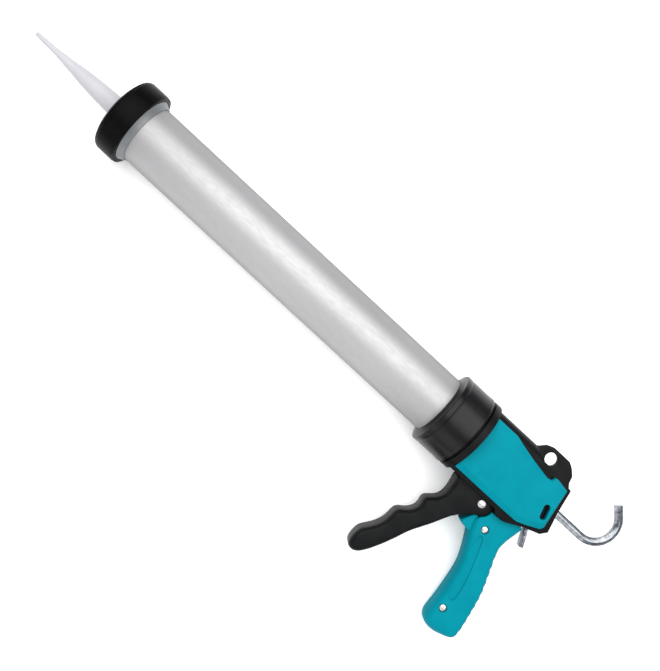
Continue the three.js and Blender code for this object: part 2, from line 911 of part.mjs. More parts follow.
add("trigger", trigger(), blackPlastic());
add("pivot_screw", pivotScrew(), zincSteel());
add("pivot_nut", pivotNut(), zincSteel());
add("pivot_sleeve", pivotSleeve(), zincSteel());
for (const [name, place] of [["upper", upperScrew], ["lower", lowerScrew]]) {
  add(`${name}_grip_screw`, gripScrew(place), zincSteel());
  add(`${name}_grip_nut`, gripNut(place), zincSteel());
}
add("front_rod_bush", frontRodBush(), whitePlastic());
add("rear_rod_bush", rearRodBush(), whitePlastic());

add("push_rod", pushRod(), zincSteel());
add("rod_hook", rodHook(), zincSteel());
add("piston", piston(), whitePlastic());
add("piston_washer", pistonWasher(), zincSteel());
add("piston_nut", pistonNut(), zincSteel());

add("drive_plate", drivePlate(), zincSteel());
add("release_plate", releasePlate(), zincSteel());
add("drive_spring", driveSpring(), zincSteel());
add("release_spring", releaseSpring(), zincSteel());

// The gun lies on its collar, its front ring and the butt of its grip.
const buttReach = -Math.min(...gripRear.map(([, y]) => y)) - gripRound;
const buttDistance = Math.hypot(buttReach, gripHalfWidth);
const buttAngle = Math.atan2(gripHalfWidth, buttReach);
gun.rotation.x = Math.asin(collarRadius / buttDistance) - buttAngle;

const group = new THREE.Group();
group.add(gun);
group.updateMatrixWorld(true);
const bounds = new THREE.Box3().setFromObject(gun, true);
const middle = bounds.getCenter(new THREE.Vector3());
gun.position.set(-middle.x, -middle.y, -bounds.min.z);

export default group;
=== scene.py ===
import bpy
import bmesh
import json
import math
from mathutils import Matrix, Vector


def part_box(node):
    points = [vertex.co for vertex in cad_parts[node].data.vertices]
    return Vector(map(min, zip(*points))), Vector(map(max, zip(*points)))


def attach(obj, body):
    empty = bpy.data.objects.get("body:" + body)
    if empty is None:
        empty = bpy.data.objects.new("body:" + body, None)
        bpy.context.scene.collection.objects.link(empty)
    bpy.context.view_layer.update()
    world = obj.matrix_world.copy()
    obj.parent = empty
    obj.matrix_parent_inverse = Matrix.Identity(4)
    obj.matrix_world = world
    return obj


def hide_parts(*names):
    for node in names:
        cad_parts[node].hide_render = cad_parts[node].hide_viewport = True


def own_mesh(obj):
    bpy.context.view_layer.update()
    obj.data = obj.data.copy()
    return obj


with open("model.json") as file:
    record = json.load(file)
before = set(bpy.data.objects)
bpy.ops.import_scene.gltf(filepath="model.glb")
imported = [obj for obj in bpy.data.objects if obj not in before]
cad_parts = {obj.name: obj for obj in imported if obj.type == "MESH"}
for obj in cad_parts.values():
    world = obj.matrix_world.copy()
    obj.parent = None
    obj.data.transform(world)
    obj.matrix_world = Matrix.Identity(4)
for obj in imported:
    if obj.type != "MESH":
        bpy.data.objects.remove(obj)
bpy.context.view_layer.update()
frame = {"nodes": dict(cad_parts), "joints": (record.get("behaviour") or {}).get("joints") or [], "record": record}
print("frame loaded:", len(frame["nodes"]), "parts")

# Shapes are drawn in the gun's own axes, in millimetres: x along the barrel towards the hook,
# y away from the handle, z across the gun, and x = 0 at the front of the frame.
gun = {
    "barrelEnd": -0.4,  # rear end of the barrel
    "unit": 0.001,
    "beyond": 20,  # past any piece's half width
    "past": 1,  # how far a cut or a joined bar runs through a face
    "sameSpot": 0.002, "sameRing": 0.001,  # points closer than this are one
}


def findGun():
    pull = next(j for j in frame["joints"] if j["name"] == "trigger_pull")
    tilt = math.atan2(-pull["axis"][1], pull["axis"][2])
    low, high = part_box("barrel_tube")
    front = high.x - gun["barrelEnd"] * gun["unit"]
    origin = Vector((front, (low.y + high.y) / 2, (low.z + high.z) / 2))
    turn = Matrix.Rotation(tilt, 4, "X")
    return Matrix.Translation(origin) @ turn @ Matrix.Scale(gun["unit"], 4), turn


gunToRow, gunTurn = findGun()
rowToGun = gunToRow.inverted()


def gunBox(node):
    # lowest and highest corner of a part, along the gun's axes
    points = [rowToGun @ v.co for v in frame["nodes"][node].data.vertices]
    low = Vector([min(p[i] for p in points) for i in range(3)])
    high = Vector([max(p[i] for p in points) for i in range(3)])
    return low, high


def colourOf(red, green, blue):
    def linear(value):
        value = value / 255
        return value / 12.92 if value <= 0.04045 else ((value + 0.055) / 1.055) ** 2.4
    return (linear(red), linear(green), linear(blue), 1)


def newMaterial(name):
    material = bpy.data.materials.new(name)
    material.use_nodes = True
    nodes = material.node_tree.nodes
    links = material.node_tree.links
    return material, nodes, links, nodes["Principled BSDF"]


noiseSpan = {"low": 0.3, "high": 0.7}  # where most of the noise's values lie


def objectNoise(nodes, links, scale, detail, stretch=(1, 1, 1)):
    # noise that sticks to the piece and runs along the gun's axes
    place = nodes.new("ShaderNodeTexCoord")
    mapping = nodes.new("ShaderNodeMapping")
    mapping.inputs["Scale"].default_value = stretch
    mapping.inputs["Rotation"].default_value = (-gunTurn.to_euler().x, 0, 0)
    noise = nodes.new("ShaderNodeTexNoise")
    noise.inputs["Scale"].default_value = scale
    noise.inputs["Detail"].default_value = detail
    links.new(place.outputs["Object"], mapping.inputs["Vector"])
    links.new(mapping.outputs["Vector"], noise.inputs["Vector"])
    return noise


def rangeOf(nodes, links, source, low, high):
    spread = nodes.new("ShaderNodeMapRange")
    spread.inputs["From Min"].default_value = noiseSpan["low"]
    spread.inputs["From Max"].default_value = noiseSpan["high"]
    spread.inputs["To Min"].default_value = low
    spread.inputs["To Max"].default_value = high
    links.new(source, spread.inputs["Value"])
    return spread.outputs["Result"]


def mixColours(nodes, links, factor, first, second):
    mix = nodes.new("ShaderNodeMix")
    mix.data_type = "RGBA"
    links.new(factor, mix.inputs["Factor"])
    mix.inputs["A"].default_value = first
    mix.inputs["B"].default_value = second
    return mix.outputs["Result"]


def addBump(nodes, links, shader, height, strength, distance):
    bump = nodes.new("ShaderNodeBump")
    bump.inputs["Strength"].default_value = strength
    bump.inputs["Distance"].default_value = distance
    links.new(height, bump.inputs["Height"])
    links.new(bump.outputs["Normal"], shader.inputs["Normal"])


plasticFinish = {
    "cloudDetail": 4, "smearDetail": 5, "smearStretch": (0.35, 1, 1),
    "smoother": 0.06, "rougher": 0.08, "grainDetail": 2, "grainDepth": 0.0002, "ior": 1.5,
}
metalFinish = {"cloudDetail": 4, "lineDetail": 3, "lineDepth": 0.0001, "edge": 1}


def plastic(name, values):
    # moulded plastic: slight cloudiness, uneven gloss and a fine spark-eroded grain
    material, nodes, links, shader = newMaterial(name)
    cloud = objectNoise(nodes, links, values["cloudScale"], plasticFinish["cloudDetail"])
    factor = rangeOf(nodes, links, cloud.outputs["Fac"], 0, 1)
    colour = mixColours(nodes, links, factor, values["colour"], values["shade"])
    links.new(colour, shader.inputs["Base Color"])
    smear = objectNoise(
        nodes, links, values["smearScale"], plasticFinish["smearDetail"],
        plasticFinish["smearStretch"])
    gloss = rangeOf(
        nodes, links, smear.outputs["Fac"], values["roughness"] - plasticFinish["smoother"],
        values["roughness"] + plasticFinish["rougher"])
    links.new(gloss, shader.inputs["Roughness"])
    grain = objectNoise(nodes, links, values["grainScale"], plasticFinish["grainDetail"])
    addBump(
        nodes, links, shader, grain.outputs["Fac"], values["grain"], plasticFinish["grainDepth"])
    shader.inputs["Specular IOR Level"].default_value = values["specular"]
    shader.inputs["IOR"].default_value = values.get("ior", plasticFinish["ior"])
    return material


def metal(name, values):
    # brushed or drawn metal: fine lines along x, uneven polish
    material, nodes, links, shader = newMaterial(name)
    shader.inputs["Metallic"].default_value = values["metallic"]
    cloud = objectNoise(nodes, links, values["cloudScale"], metalFinish["cloudDetail"])
    factor = rangeOf(nodes, links, cloud.outputs["Fac"], 0, 1)
    colour = mixColours(nodes, links, factor, values["colour"], values["shade"])
    links.new(colour, shader.inputs["Base Color"])
    lines = objectNoise(
        nodes, links, values["lineScale"], metalFinish["lineDetail"], values["stretch"])
    gloss = rangeOf(
        nodes, links, lines.outputs["Fac"],
        values["roughness"] - values["uneven"], values["roughness"] + values["uneven"])
    links.new(gloss, shader.inputs["Roughness"])
    addBump(nodes, links, shader, lines.outputs["Fac"], values["grain"], metalFinish["lineDepth"])
    edge = values.get("edge", metalFinish["edge"])  # how bright the reflection stays at grazing angles; a low value paints shade along the outline
    shader.inputs["Specular Tint"].default_value = (edge, edge, edge, 1)
    return material


tealValues = {
    "colour": colourOf(0, 123, 138), "shade": colourOf(0, 116, 131), "cloudScale": 60,
    "roughness": 0.5, "smearScale": 45, "grainScale": 1600, "grain": 0.12, "specular": 0.03,
}
# painted shade: a slightly darker teal for the floor of the grip's stripe recess
stripeShadeValues = {
    "colour": colourOf(0, 120, 135), "shade": colourOf(0, 112, 127), "cloudScale": 60,
    "roughness": 0.6, "smearScale": 45, "grainScale": 1300, "grain": 0.3, "specular": 0.03,
}
blackValues = {
    "colour": colourOf(11, 12, 13), "shade": colourOf(17, 18, 19), "cloudScale": 120,
    "roughness": 0.42, "smearScale": 90, "grainScale": 1300, "grain": 0.25, "specular": 0.08,
}
ringValues = {
    "colour": colourOf(4, 4, 5), "shade": colourOf(8, 8, 9), "cloudScale": 150,
    "roughness": 0.36, "smearScale": 90, "grainScale": 1500, "grain": 0.2,
    "specular": 0.5, "ior": 1.12,
}
collarValues = {
    "colour": colourOf(5, 5, 6), "shade": colourOf(10, 10, 11), "cloudScale": 150,
    "roughness": 0.3, "smearScale": 90, "grainScale": 1500, "grain": 0.2,
    "specular": 0.5, "ior": 1.3,
}
whiteValues = {
    "colour": colourOf(176, 176, 180), "shade": colourOf(169, 169, 174), "cloudScale": 40,
    "roughness": 0.4, "smearScale": 60, "grainScale": 1200, "grain": 0.05, "specular": 0.25,
}
rubberValues = {
    "colour": colourOf(38, 38, 40), "shade": colourOf(46, 46, 48), "cloudScale": 40,
    "roughness": 0.75, "smearScale": 80, "grainScale": 1400, "grain": 0.3, "specular": 0.3,
}
aluminiumValues = {
    "colour": colourOf(174, 173, 174), "shade": colourOf(168, 167, 168),
    "cloudScale": 9, "metallic": 0.8, "roughness": 0.56, "uneven": 0.06,
    # edge: painted shade, a darker reflection where the tube turns away along its outline
    "lineScale": 700, "stretch": (0.2, 1, 1), "grain": 0.22, "edge": 0.05,
}
# painted shade: a darker grey metal for the cone behind the front ring, standing in for the ring's shade and
# reflection on the tube
ringShadeOnTubeValues = {
    "colour": colourOf(116, 119, 121), "shade": colourOf(104, 107, 109),
    "cloudScale": 40, "metallic": 0.6, "roughness": 0.45, "uneven": 0.06,
    "lineScale": 600, "stretch": (1, 1, 1), "grain": 0.1,
}
zincValues = {
    "colour": colourOf(160, 163, 168), "shade": colourOf(104, 108, 114),
    "cloudScale": 320, "metallic": 1, "roughness": 0.26, "uneven": 0.1,
    "lineScale": 700, "stretch": (0.1, 1, 1), "grain": 0.15,
}
screwMetalValues = {
    "colour": colourOf(214, 208, 205), "shade": colourOf(178, 176, 176),
    "cloudScale": 300, "metallic": 0.9, "roughness": 0.3, "uneven": 0.08,
    "lineScale": 900, "stretch": (1, 1, 1), "grain": 0.12,
}

materials = {
    "teal_plastic": plastic("teal plastic", tealValues),
    "black_plastic": plastic("black plastic", blackValues),
    "white_plastic": plastic("white plastic", whiteValues),
    "rubber_seal": plastic("rubber", rubberValues),
    "aluminium_tube": metal("aluminium", aluminiumValues),
    "zinc_steel": metal("zinc plated steel", zincValues),
}
# painted shade and reflection of the front ring on the tube
ringShadeOnTube = metal("painted ring shade on tube", ringShadeOnTubeValues)
screwFinish = metal("screw heads", screwMetalValues)
# painted shade on the floor of the grip's stripe
stripeShadeFinish = plastic("grip stripe painted shade", stripeShadeValues)
ringFinish = plastic("ring black plastic", ringValues)
collarFinish = plastic("collar black plastic", collarValues)
print("materials made")

slotOfNode = {part["node"]: part["material_slot"] for part in frame["record"]["subparts"]}
bodyOfNode = {
    node: body for body, nodes in frame["record"]["behaviour"]["bodies"].items() for node in nodes
}
for name, part in frame["nodes"].items():
    part.data.materials.clear()
    part.data.materials.append(materials[slotOfNode[name]])


def newPiece(name, bm, body, slot, replaced, finish=None, angle=32):
    # puts a finished shape in its place and hangs it on its body; edges over the angle stay sharp
    bmesh.ops.recalc_face_normals(bm, faces=bm.faces)
    bm.transform(gunToRow)
    mesh = bpy.data.meshes.new(name)
    bm.to_mesh(mesh)
    bm.free()
    mesh.shade_smooth()
    mesh.set_sharp_from_angle(angle=math.radians(angle))
    piece = bpy.data.objects.new(name, mesh)
    bpy.context.collection.objects.link(piece)
    for material in finish or [materials[slot]]:
        mesh.materials.append(material)
    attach(piece, body)
    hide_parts(*replaced)
    return piece


def bevelEdges(bm, width, segments, angle, keep=None):
    edges = [
        edge for edge in bm.edges
        if edge.is_manifold and edge.calc_face_angle(0) > math.radians(angle)
        and (keep is None or keep(edge))
    ]
    bmesh.ops.bevel(
        bm, geom=edges, offset=width, offset_type="OFFSET", segments=segments, profile=0.5,
        affect="EDGES", clamp_overlap=True, material=-1)


def lathed(section, steps, roundings=()):
    # a round piece about the barrel's axis from [x, radius] points around its section
    bm = bmesh.new()
    verts = [bm.verts.new((x, radius, 0)) for x, radius in section]
    face = bm.faces.new(verts)
    for width, segments, chosen in roundings:
        corners = [verts[i] for i in chosen]
        bmesh.ops.bevel(
            bm, geom=corners, offset=width, offset_type="OFFSET", segments=segments, profile=0.5,
            affect="VERTICES", clamp_overlap=True, material=-1)
    bmesh.ops.delete(bm, geom=list(bm.faces), context="FACES_ONLY")
    bmesh.ops.spin(
        bm, geom=list(bm.verts) + list(bm.edges), cent=(0, 0, 0), axis=(1, 0, 0), dvec=(0, 0, 0),
        angle=2 * math.pi, steps=steps, use_merge=True, use_duplicate=False)
    bmesh.ops.remove_doubles(bm, verts=bm.verts, dist=gun["sameRing"])
    bmesh.ops.recalc_face_normals(bm, faces=bm.faces)
    return bm


curve = {"share": 50, "segments": 3, "merge": 0.01}  # share: of each side, in percent


def drawn(points, low, high, smooth=(), spacing=0):
    # a plate across the gun from an outline, with the chosen corners run into curves
    bm = bmesh.new()
    verts = [bm.verts.new((x, y, low)) for x, y in points]
    bm.faces.new(verts)
    corners = [verts[i] for i in smooth]
    if corners:
        bmesh.ops.bevel(
            bm, geom=corners, offset=curve["share"], offset_type="PERCENT",
            segments=curve["segments"], profile=0.5,
            affect="VERTICES", clamp_overlap=True, material=-1)
    bmesh.ops.remove_doubles(bm, verts=bm.verts, dist=curve["merge"])
    for edge in list(bm.edges) if spacing else ():
        cuts = int(edge.calc_length() / spacing)
        if cuts:
            bmesh.ops.subdivide_edges(bm, edges=[edge], cuts=cuts)
    made = bmesh.ops.extrude_face_region(bm, geom=list(bm.faces))
    raised = [item for item in made["geom"] if isinstance(item, bmesh.types.BMVert)]
    bmesh.ops.translate(bm, vec=(0, 0, high - low), verts=raised)
    bmesh.ops.recalc_face_normals(bm, faces=bm.faces)
    return bm


def roundBar(centre, low, high, radius, steps=40):
    # a round bar across the gun
    bm = bmesh.new()
    bmesh.ops.create_cone(
        bm, cap_ends=True, segments=steps, radius1=radius, radius2=radius, depth=high - low,
        matrix=Matrix.Translation((centre[0], centre[1], (low + high) / 2)))
    return bm


def blockOf(low, high):
    bm = bmesh.new()
    size = [b - a for a, b in zip(low, high)]
    centre = [(a + b) / 2 for a, b in zip(low, high)]
    matrix = Matrix.Translation(centre) @ Matrix.Diagonal((*size, 1))
    bmesh.ops.create_cube(bm, size=1, matrix=matrix)
    return bm


def combined(bm, others, operation):
    # cuts the others out of a shape, or joins them to it
    def temporary(shape):
        mesh = bpy.data.meshes.new("temporary")
        shape.to_mesh(mesh)
        shape.free()
        item = bpy.data.objects.new("temporary", mesh)
        bpy.context.collection.objects.link(item)
        return item
    main = temporary(bm)
    tools = [temporary(other) for other in others]
    for tool in tools:
        modifier = main.modifiers.new("combine", "BOOLEAN")
        modifier.operation = operation
        modifier.solver = "EXACT"
        modifier.object = tool
    bpy.context.view_layer.update()
    whole = bmesh.new()
    whole.from_object(main, bpy.context.evaluated_depsgraph_get())
    for item in [main, *tools]:
        mesh = item.data
        bpy.data.objects.remove(item)
        bpy.data.meshes.remove(mesh)
    # slivers are cleared before and after the many-sided faces are cut up
    bmesh.ops.remove_doubles(whole, verts=whole.verts, dist=gun["sameSpot"])
    bmesh.ops.dissolve_degenerate(whole, dist=gun["sameSpot"], edges=whole.edges)
    many = [face for face in whole.faces if len(face.verts) > 4]
    bmesh.ops.triangulate(whole, faces=many, quad_method="BEAUTY", ngon_method="BEAUTY")
    bmesh.ops.dissolve_degenerate(whole, dist=gun["sameSpot"], edges=whole.edges)
    return whole


def carved(bm, *cutters):
    return combined(bm, cutters, "DIFFERENCE")


def joined(bm, *others):
    return combined(bm, others, "UNION")


def mirrored(bm):
    # the same shape on the gun's other side
    copy = bm.copy()
    bmesh.ops.scale(copy, vec=(1, 1, -1), verts=copy.verts)
    bmesh.ops.reverse_faces(copy, faces=copy.faces)
    return copy


# flat: faces within this many degrees are one; angle: sharper edges than this are broken
carriedOver = {"merge": 0.004, "flat": 1, "segments": 2, "angle": 30}


def softened(name, node, width):
    # a part carried over with its sharp edges broken
    bm = bmesh.new()
    bm.from_mesh(frame["nodes"][node].data)
    bm.transform(rowToGun)
    bmesh.ops.remove_doubles(bm, verts=bm.verts, dist=carriedOver["merge"])
    bmesh.ops.dissolve_limit(
        bm, angle_limit=math.radians(carriedOver["flat"]), verts=bm.verts, edges=bm.edges,
        use_dissolve_boundaries=False)
    bevelEdges(bm, width, carriedOver["segments"], carriedOver["angle"])
    newPiece(name, bm, bodyOfNode[node], slotOfNode[node], [node], angle=40)


barrel = {
    "front": -386, "rear": gun["barrelEnd"], "radius": 27, "bore": 25.5, "rim": 0.4, "steps": 160,
}


def makeBarrel():
    section = [
        (barrel["front"], barrel["bore"]), (barrel["rear"], barrel["bore"]),
        (barrel["rear"], barrel["radius"]), (barrel["front"], barrel["radius"]),
    ]
    bm = lathed(section, barrel["steps"], [(barrel["rim"], 2, (0, 1, 2, 3))])
    newPiece("barrel", bm, "barrel", "aluminium_tube", ["barrel_tube"])


ring = {
    "front": -394.3, "rear": -371.8, "coneRear": -366.4, "coneFoot": 30.6, "coneLip": 0.25,
    "radius": 35, "bore": 27.4, "mouth": 11.8, "frontWall": 3, "bevel": 2.6, "frontFlat": 6,
    "step": 0.5, "frontStep": (4.4, 5), "rearStep": (2.2, 1.6),  # where each step starts and ends
    "brow": 1.6, "edge": 0.5, "steps": 128,
    "hair": 0.05,  # play in telling the cone's faces from the rest
}


def makeFrontRing():
    front, rear, radius = ring["front"], ring["rear"], ring["radius"]
    low = radius - ring["step"]
    section = [
        (front, ring["mouth"]),
        (front, radius - ring["frontFlat"]),
        (front + ring["bevel"], low),
        (front + ring["frontStep"][0], low),
        (front + ring["frontStep"][1], radius),
        (rear - ring["rearStep"][0], radius),
        (rear - ring["rearStep"][1], low),
        (rear, low),
        (rear, ring["coneFoot"]),
        (ring["coneRear"], ring["bore"] + ring["coneLip"]),
        (ring["coneRear"], ring["bore"]),
        (front + ring["frontWall"], ring["bore"]),
        (front + ring["frontWall"], ring["mouth"]),
    ]
    edges = (0, 3, 4, 5, 6, 7, 8, 12)
    bm = lathed(section, ring["steps"], [(ring["brow"], 4, (2,)), (ring["edge"], 2, edges)])
    # the cone behind the ring gets a darker grey metal: painted shade and reflection of the black ring on the tube
    # beside it
    for face in bm.faces:
        centre = face.calc_center_median()
        reach = math.hypot(centre.y, centre.z)
        if centre.x > rear + ring["hair"] and reach > ring["bore"] + ring["hair"]:
            face.material_index = 1
    finish = [ringFinish, ringShadeOnTube]
    newPiece("frontRing", bm, "front_ring", "black_plastic", ["front_ring"], finish)


spout = {
    "flangeFront": -391.2, "flangeRear": -388.6, "flangeRadius": 27,
    "shoulder": 11.4, "shoulderFront": -396.7,
    "wall": 1.3, "tipWall": 0.42,  # thinner towards the tip, as a share of the radius
    "edge": 0.5, "tipEdge": 0.3, "steps": 96,
    # x and radius, from the flange to the tip
    "outside": [
        (-397.2, 9.4), (-401.5, 8.9), (-410, 8.6), (-418, 8.25), (-426, 7.55), (-434.5, 6.8),
        (-443, 5.75), (-451, 4.75), (-459, 3.8), (-465, 3), (-469, 2.75), (-476, 2.6),
        (-483, 2.15), (-488.2, 1.9),
    ],
}


def makeNozzle():
    outside, wall = spout["outside"], spout["wall"]
    section = [
        (spout["flangeRear"], spout["flangeRadius"]),
        (spout["flangeFront"], spout["flangeRadius"]),
        (spout["flangeFront"], spout["shoulder"]),
        (spout["shoulderFront"], spout["shoulder"]),
        *outside,
        *[(x, radius - min(wall, radius * spout["tipWall"])) for x, radius in reversed(outside)],
        (spout["flangeRear"], spout["shoulder"] - wall),
    ]
    tip = 3 + len(outside)  # the tip's outer corner in the section
    roundings = [(spout["edge"], 3, (0, 1, 3, 4)), (spout["tipEdge"], 2, (tip, tip + 1))]
    bm = lathed(section, spout["steps"], roundings)
    newPiece("nozzleSpout", bm, "nozzle", "white_plastic", ["nozzle"], angle=50)


makeBarrel()
makeFrontRing()
makeNozzle()
print("front end made")


collar = {
    "front": -32, "rear": -2.4, "radius": 35, "cone": -34.6, "coneWidth": 0.6, "coneDepth": 3.2,
    "bore": 27.4, "neckBore": 31.1, "lip": -27.6, "body": 34.8,
    # the groove's middle, its depth, and where its sides start and end from the middle
    "groove": -26.6, "grooveDepth": 0.45, "grooveSteps": (-0.9, -0.3, 0.5, 1.1),
    "rearBand": (3.4, 2.8),  # its slope starts and ends this far ahead of the rear
    "nose": 0.9, "edge": 0.3, "heel": 0.8, "steps": 128,
}


def makeCollar():
    groove, floor = collar["groove"], collar["body"] - collar["grooveDepth"]
    steps = collar["grooveSteps"]
    section = [
        (collar["cone"], collar["bore"]),
        (collar["front"] - collar["coneWidth"], collar["radius"] - collar["coneDepth"]),
        (collar["front"], collar["radius"]),
        (groove + steps[0], collar["radius"]),
        (groove + steps[1], floor),
        (groove + steps[2], floor),
        (groove + steps[3], collar["body"]),
        (collar["rear"] - collar["rearBand"][0], collar["body"]),
        (collar["rear"] - collar["rearBand"][1], collar["radius"]),
        (collar["rear"], collar["radius"]),
        (collar["rear"], collar["neckBore"]),
        (collar["lip"], collar["neckBore"]),
        (collar["lip"], collar["bore"]),
    ]
    roundings = [
        (collar["nose"], 4, (2,)), (collar["edge"], 2, (1, 3, 4, 5, 6, 7, 8)),
        (collar["heel"], 3, (9,)),
    ]
    bm = lathed(section, collar["steps"], roundings)
    newPiece("rearCollar", bm, "collar", "black_plastic", ["rear_collar"], [collarFinish])


makeCollar()
print("collar made")


cover = {
    "inner": 19.4, "wall": 1.2, "shoulder": 21.8, "outer": 23.4, "edge": 0.7, "edgeAngle": 14,
    "foot": 0.5,  # edges lower than this stay sharp
    "lean": 0.25, "slope": 0.7,  # how the lower sides start to lean in above the wall
    "slot": [(86.3, -2.2), (88.7, -9.8)], "slotRadius": 2.9, "slotSteps": 12, "slotPast": 2,
    # x, y of the outline, then how far the outer face's edge stands in from it
    "outline": [
        (6.6, -28.3, 0, 5.2), (61, -28.3, -0.8, 5.1), (75.6, -27.9, -1.6, 4.7),
        (84.8, -24.2, -2.2, 4.4), (95, -19.2, -3.4, 3.6), (96.7, -15.9, -3.3, 1.6),
        (89.9, 19.4, -1, -1), (78.1, 21.4, 0.3, -1.2), (75.4, 21, 1, -0.8),
        (73.9, 17.3, 1.1, -0.8), (69.7, 16.4, 0.2, -1.2), (52.8, 19.3, -0.2, -3.6),
        (37.7, 22.6, -0.4, -7.4), (27.7, 25.2, -0.4, -9), (6.6, 25.2, 0, -9),
    ],
    "topChain": range(6, 15),  # the corners along the top edge, which is steep
}


def makeCovers():
    bm = bmesh.new()
    outline = cover["outline"]
    base = [bm.verts.new((x, y, cover["inner"])) for x, y, dx, dy in outline]
    bm.faces.new(base)
    levels = [
        lambda i, x, y, dx, dy: (x, y, cover["inner"] + cover["wall"]),
        lambda i, x, y, dx, dy: (x, y, cover["shoulder"]) if i in cover["topChain"] else (
            x + dx * cover["lean"], y + dy * cover["lean"],
            cover["inner"] + cover["wall"] + cover["slope"]),
        lambda i, x, y, dx, dy: (x + dx, y + dy, cover["outer"]),
    ]
    rings = [base]
    for place in levels:
        rings.append([bm.verts.new(place(i, *point)) for i, point in enumerate(outline)])
    count = len(outline)
    for low, high in zip(rings, rings[1:]):
        edges = []
        for ringVerts in (low, high):
            for i in range(count):
                pair = (ringVerts[i], ringVerts[(i + 1) % count])
                edges.append(bm.edges.get(pair) or bm.edges.new(pair))
        bmesh.ops.bridge_loops(bm, edges=edges)
    bm.faces.new(rings[-1])
    bmesh.ops.recalc_face_normals(bm, faces=bm.faces)
    foot = cover["inner"] + cover["foot"]
    bevelEdges(
        bm, cover["edge"], 3, cover["edgeAngle"],
        lambda edge: min(v.co.z for v in edge.verts) > foot)
    first, last = cover["slot"]
    lean = math.atan2(last[1] - first[1], last[0] - first[0])
    radius = cover["slotRadius"]
    outlineOfSlot = []
    for centre, start in ((first, lean + math.pi / 2), (last, lean - math.pi / 2)):
        for step in range(cover["slotSteps"] + 1):
            angle = start + step * math.pi / cover["slotSteps"]
            outlineOfSlot.append((
                centre[0] + radius * math.cos(angle), centre[1] + radius * math.sin(angle)))
    past = cover["slotPast"]
    bm = carved(bm, drawn(outlineOfSlot, cover["inner"] - past, cover["outer"] + past))
    other = mirrored(bm)
    newPiece("coverLeft", bm, "frame", "teal_plastic", ["side_cover_left"], angle=24)
    newPiece("coverRight", other, "frame", "teal_plastic", ["side_cover_right"], angle=24)


makeCovers()
print("covers made")


def shouldered(bm, values, share=lambda place: 1):
    # raises the upper face in steps that draw in on an elliptical shoulder
    cap = max(bm.faces, key=lambda face: face.calc_center_median().z)
    verts = [loop.vert for loop in cap.loops]
    count = len(verts)
    turn = 1 if cap.normal.z > 0 else -1
    reach = values["shoulderSmooth"]
    start = {}
    for i, v in enumerate(verts):
        along = verts[(i + reach) % count].co - verts[i - reach].co
        start[v] = (v.co.copy(), Vector((-along.y, along.x, 0)).normalized() * (turn * share(v.co)))
    rise = values["half"] - values["shoulder"]
    for step in range(1, values["shoulderSteps"] + 1):
        angle = step * math.pi / 2 / values["shoulderSteps"]
        inwards = values["shoulderIn"] * (1 - math.cos(angle))
        level = values["shoulder"] + rise * math.sin(angle)
        places = {(round(v.co.x, 4), round(v.co.y, 4)): v for v in cap.verts}
        made = bmesh.ops.extrude_face_region(bm, geom=[cap])["geom"]
        bmesh.ops.delete(bm, geom=[cap], context="FACES_ONLY")
        cap = next(item for item in made if isinstance(item, bmesh.types.BMFace))
        following = {}
        for v in cap.verts:
            place, inward = start[places[(round(v.co.x, 4), round(v.co.y, 4))]]
            v.co = place + inward * inwards
            v.co.z = level
            following[v] = (place, inward)
        start = following


def twoSided(bm):
    # adds the other half across the gun's middle plane, and closes the seam between them
    near = gun["sameRing"]
    seam = [face for face in bm.faces if all(abs(v.co.z) < near for v in face.verts)]
    bmesh.ops.delete(bm, geom=seam, context="FACES_ONLY")
    copied = bmesh.ops.duplicate(bm, geom=[*bm.verts, *bm.edges, *bm.faces])["geom"]
    verts = [item for item in copied if isinstance(item, bmesh.types.BMVert)]
    faces = [item for item in copied if isinstance(item, bmesh.types.BMFace)]
    bmesh.ops.scale(bm, vec=(1, 1, -1), verts=verts)
    bmesh.ops.reverse_faces(bm, faces=faces)
    bmesh.ops.remove_doubles(bm, verts=bm.verts, dist=gun["sameSpot"])


trigger = {
    "pivot": (47, -36.4), "boss": 11, "bossFrom": -72, "bossTo": 60, "bossStep": 12,
    "half": 12.5, "cheekInner": 9.2, "hole": 3,
    "front": [
        (16.6, -33.2), (18.6, -41.7), (19.5, -48.7), (18.6, -55.6), (14.3, -60.2), (9.2, -64.2),
        (8.8, -68.6), (10.6, -73.8), (8.1, -79.8), (3.8, -84.1), (-2.2, -87.8), (-2.6, -94.5),
        (-2.6, -101.4), (-5.9, -110), (-11, -116.9), (-14.6, -121.8), (-15, -130.7),
        (-13.4, -137.4),
    ],
    "bottom": [(-8.8, -139.3), (-3.7, -138.1), (0.8, -133.4)],
    "rear": [
        (6.9, -123), (13.7, -107.6), (17.6, -96.3), (22.2, -87.9), (27, -79.6), (31, -71.2),
        (35.6, -62.2), (40, -55.2),
    ],
    "armFront": 40.4, "armRear": 46.4, "armTop": -8, "shelf": -29.4, "shelfFront": 18.6,
    "spacing": 1.8,
    "shoulder": 7, "shoulderIn": 4.2, "shoulderSteps": 6, "shoulderSmooth": 2,
    # how much of the shoulder the outline takes behind an x and above a y; the first that fits
    # counts, and everything else takes all of it
    "shares": [
        (-math.inf, -31, 0.12), (33, -60, 0.35), (26, -82, 0.7), (-math.inf, -38, 0.6),
    ],
    "channel": [
        (20.1, -16.4), (23.1, -48), (19.6, -58), (13.1, -67), (12.6, -78), (2.6, -89), (1.6, -102),
        (-8.4, -122), (-4.4, -131), (8, -131), (70, -90), (70, -16.4), (60, 10), (20.1, 10),
    ],
}


def triggerShare(place):
    for x, y, share in trigger["shares"]:
        if place.x > x and place.y > y:
            return share
    return 1


